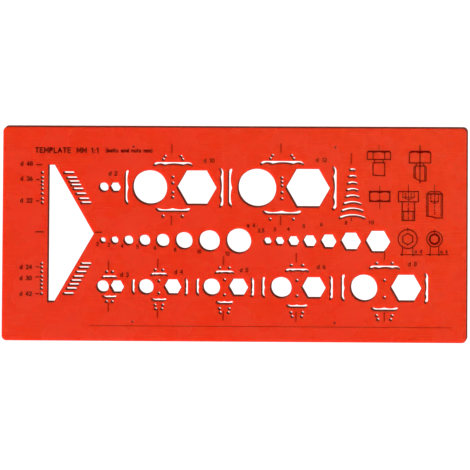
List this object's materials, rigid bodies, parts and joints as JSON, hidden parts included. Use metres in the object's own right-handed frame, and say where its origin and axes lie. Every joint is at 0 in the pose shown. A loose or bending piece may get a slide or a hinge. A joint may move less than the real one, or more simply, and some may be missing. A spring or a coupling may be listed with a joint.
{
  "type": "circle template",
  "caption": "Flat drawing template with circle, hexagon and slot openings for drawing bolts, nuts and screws.",
  "frame": {"origin": "middle of the sheet in plan, on the surface that its four pips rest on", "axes": "+X along the sheet's length to the right as it is read, +Y up its printed face, +Z out of that face"},
  "size_m": [0.24, 0.1108, 0.0013],
  "materials": {
    "sheet_plastic": "glossy orange-red acrylic with fine handling scratches",
    "printed_ink": "dark red screen-printed ink"
  },
  "bodies": {
    "root": {"sheet": "sheet_plastic", "upper_centre_ticks": "printed_ink", "lower_centre_ticks": "printed_ink", "corner_size_ticks": "printed_ink", "base_line": "printed_ink", "bolt_corner_view": "printed_ink", "bolt_flat_view": "printed_ink", "nut_view": "printed_ink", "cap_screw_view": "printed_ink", "set_screw_view": "printed_ink", "cap_screw_end_view": "printed_ink", "set_screw_end_view": "printed_ink"}
  },
  "joints": []
}
